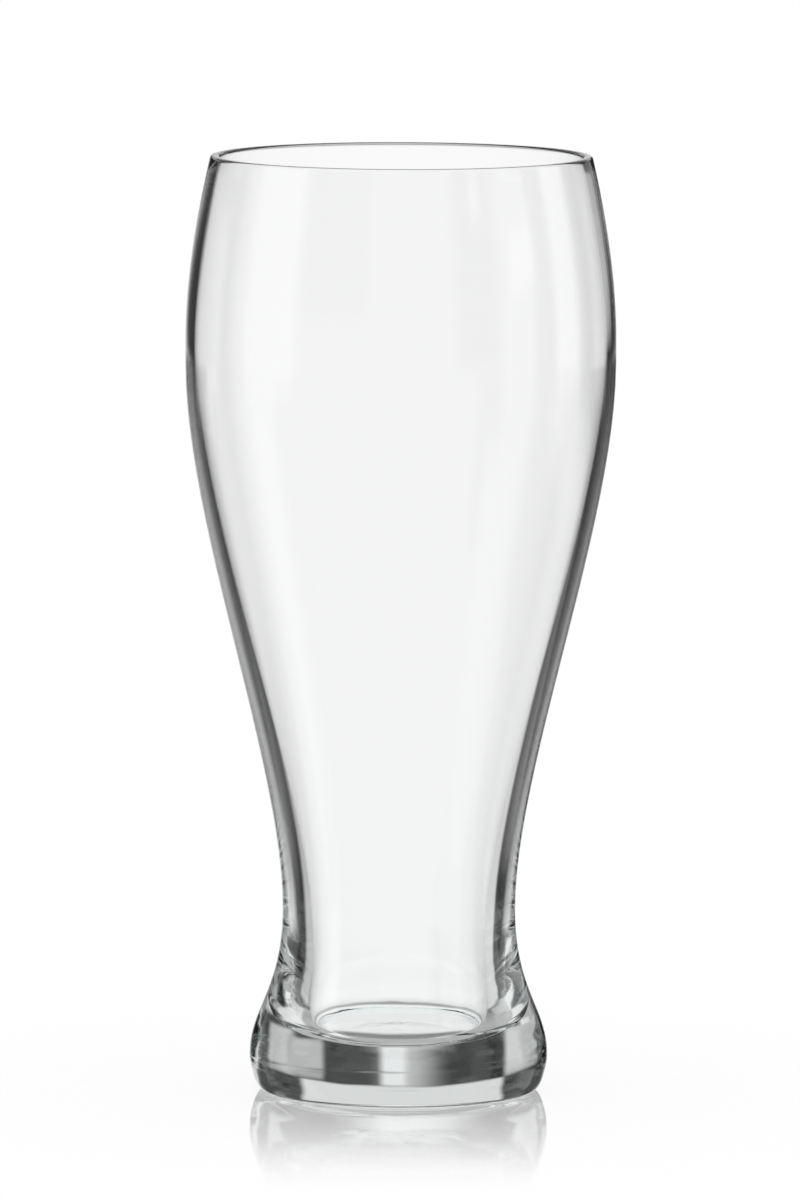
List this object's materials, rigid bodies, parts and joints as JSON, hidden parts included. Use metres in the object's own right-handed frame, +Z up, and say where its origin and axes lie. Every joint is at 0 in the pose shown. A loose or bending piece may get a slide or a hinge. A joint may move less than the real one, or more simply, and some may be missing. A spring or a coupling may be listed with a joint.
{
  "type": "weizen glass",
  "caption": "Tall clear beer glass with a full upper belly, a drawn-in lip, a narrow waist and a heavy solid foot, for pouring and drinking wheat beer with its foam.",
  "frame": {"origin": "centre of the ring that the glass stands on, at table height", "axes": "+Z up along the glass's axis; X and Y across it, with no preferred side because the glass is round"},
  "size_m": [0.0916, 0.0916, 0.2],
  "materials": {
    "glass": "clear colourless glass, fire-polished to a full gloss, faintly grey-green where it is thick"
  },
  "bodies": {
    "root": {"bowl": "glass", "foot": "glass"}
  },
  "joints": []
}
